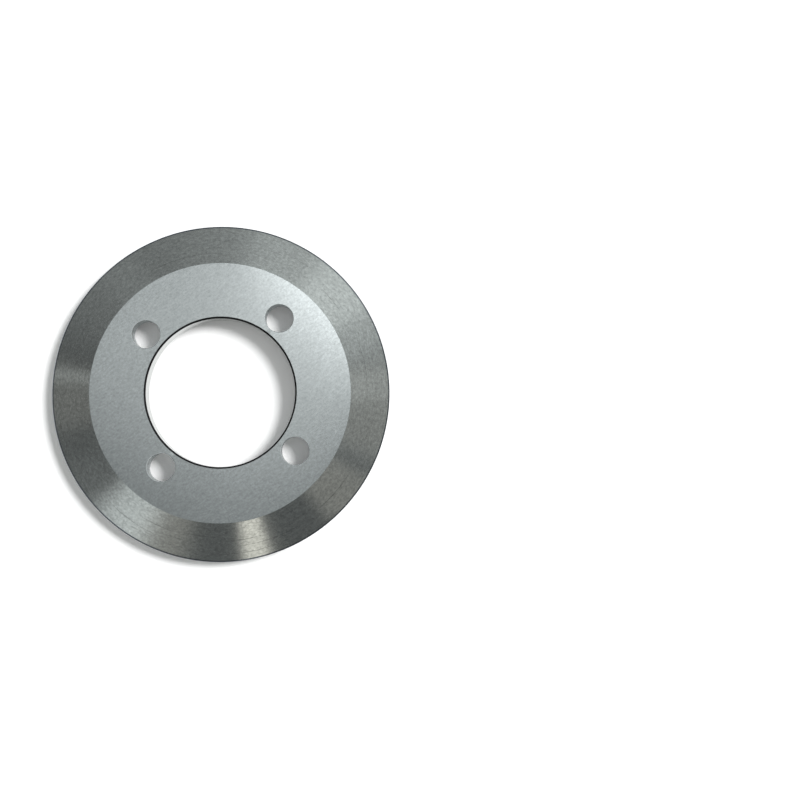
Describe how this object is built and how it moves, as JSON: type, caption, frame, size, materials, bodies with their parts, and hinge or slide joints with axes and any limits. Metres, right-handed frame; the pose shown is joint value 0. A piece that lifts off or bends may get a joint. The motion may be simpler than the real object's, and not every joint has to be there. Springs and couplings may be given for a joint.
{
  "type": "circular slitter knife",
  "caption": "Steel ring knife for slitting webs and sheets: bevelled cutting edge, ground faces, centring bore, bolt holes, and a recessed seat ring with a relief groove at the back.",
  "frame": {"origin": "on the knife's axis, in the plane of the flat back face that it lies on", "axes": "+Z along the knife's axis, from the back face to the bevelled front face; the knife is round, so X and Y are free, and the first bolt hole is 52 degrees from +X"},
  "size_m": [0.1, 0.1, 0.008],
  "materials": {
    "ground_steel": "hardened tool steel, fine ground"
  },
  "bodies": {
    "root": {"slitter_knife": "ground_steel"}
  },
  "joints": []
}
